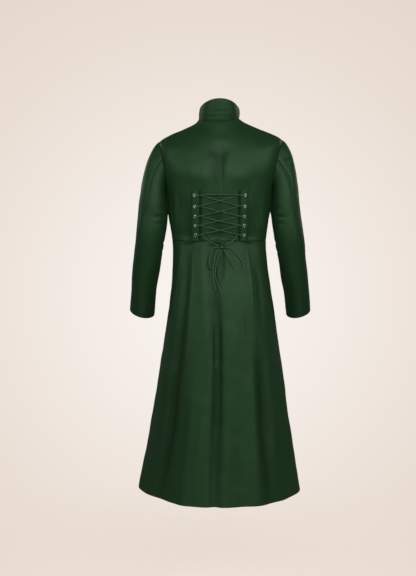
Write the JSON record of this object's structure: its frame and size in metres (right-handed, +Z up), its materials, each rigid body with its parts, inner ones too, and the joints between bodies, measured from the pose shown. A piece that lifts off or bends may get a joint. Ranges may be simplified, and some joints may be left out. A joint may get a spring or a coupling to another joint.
{
  "type": "steampunk long coat",
  "caption": "Long fitted coat with a stand collar, two-piece sleeves, a flared skirt and a laced back tied in a bow, in its hollow worn form.",
  "frame": {"origin": "the middle of the neckline, at the height where the shoulder seams meet the collar, where the wearer's shoulders and neck hold the coat", "axes": "+Z up; the wearer faces -Y, so the laced back is on the +Y side; +X is the wearer's left"},
  "size_m": [0.6052, 0.4292, 1.2641],
  "materials": {
    "cloth": "dark green smooth satin-faced cloth",
    "lace": "green round braided lace",
    "nickel": "polished nickel",
    "button": "dark green moulded"
  },
  "bodies": {
    "root": {"bodice_back": "cloth", "bodice_front_left": "cloth", "bodice_front_right": "cloth", "button_1": "button", "button_2": "button", "button_3": "button", "button_4": "button", "button_5": "button", "button_6": "button", "collar": "cloth", "eyelet_left_1": "nickel", "eyelet_left_2": "nickel", "eyelet_left_3": "nickel", "eyelet_left_4": "nickel", "eyelet_left_5": "nickel", "eyelet_right_1": "nickel", "eyelet_right_2": "nickel", "eyelet_right_3": "nickel", "eyelet_right_4": "nickel", "eyelet_right_5": "nickel", "lace_knot": "lace", "lace_left": "lace", "lace_loop_left": "lace", "lace_loop_right": "lace", "lace_right": "lace", "lace_tail_1": "lace", "lace_tail_2": "lace", "lacing_strip_left": "cloth", "lacing_strip_right": "cloth", "skirt_back_left": "cloth", "skirt_back_right": "cloth", "skirt_front_left": "cloth", "skirt_front_right": "cloth", "skirt_side_back_left": "cloth", "skirt_side_back_right": "cloth", "sleeve_under_left": "cloth", "sleeve_under_right": "cloth", "sleeve_upper_left": "cloth", "sleeve_upper_right": "cloth"}
  },
  "joints": []
}
